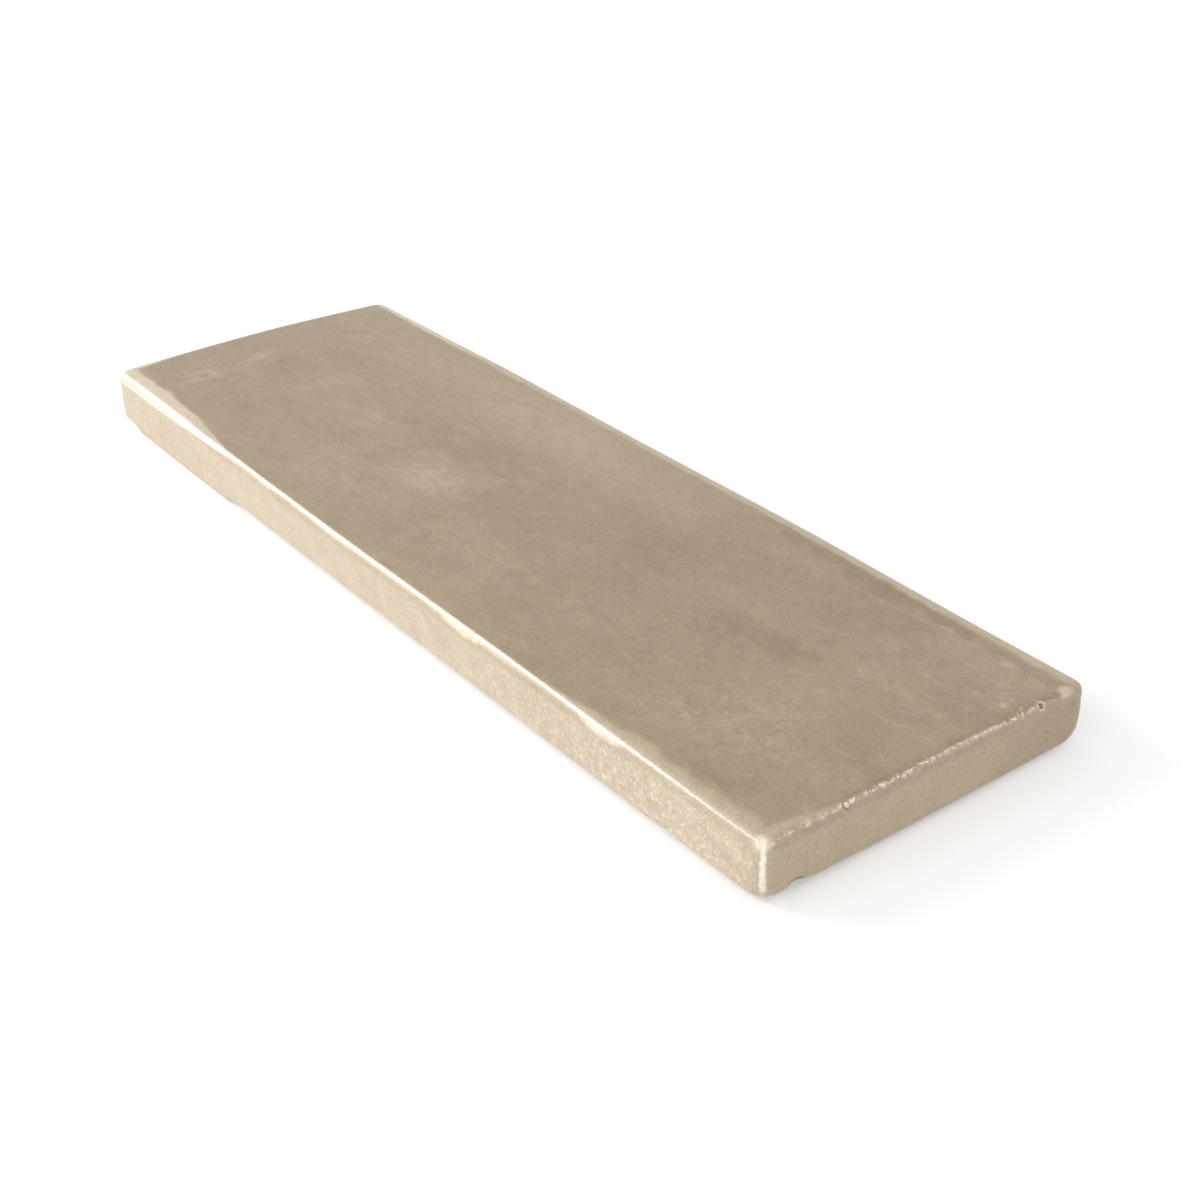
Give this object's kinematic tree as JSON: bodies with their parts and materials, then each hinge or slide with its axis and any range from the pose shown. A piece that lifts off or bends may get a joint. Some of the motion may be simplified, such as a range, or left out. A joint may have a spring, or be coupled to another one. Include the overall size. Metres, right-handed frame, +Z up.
{
  "type": "wall tile",
  "caption": "Narrow glazed ceramic wall tile with a hand-made look, crowned satin face in warm beige, softly rolled edges and a ribbed bare back",
  "frame": {"origin": "middle of the plane the tile rests on, under the middle of the glazed face", "axes": "+X along the length of the tile, +Y across its width, +Z up out of the glazed face"},
  "size_m": [0.2, 0.065, 0.0114],
  "materials": {
    "glaze": "satin glaze over fired clay"
  },
  "bodies": {
    "root": {"tile": "glaze"}
  },
  "joints": []
}
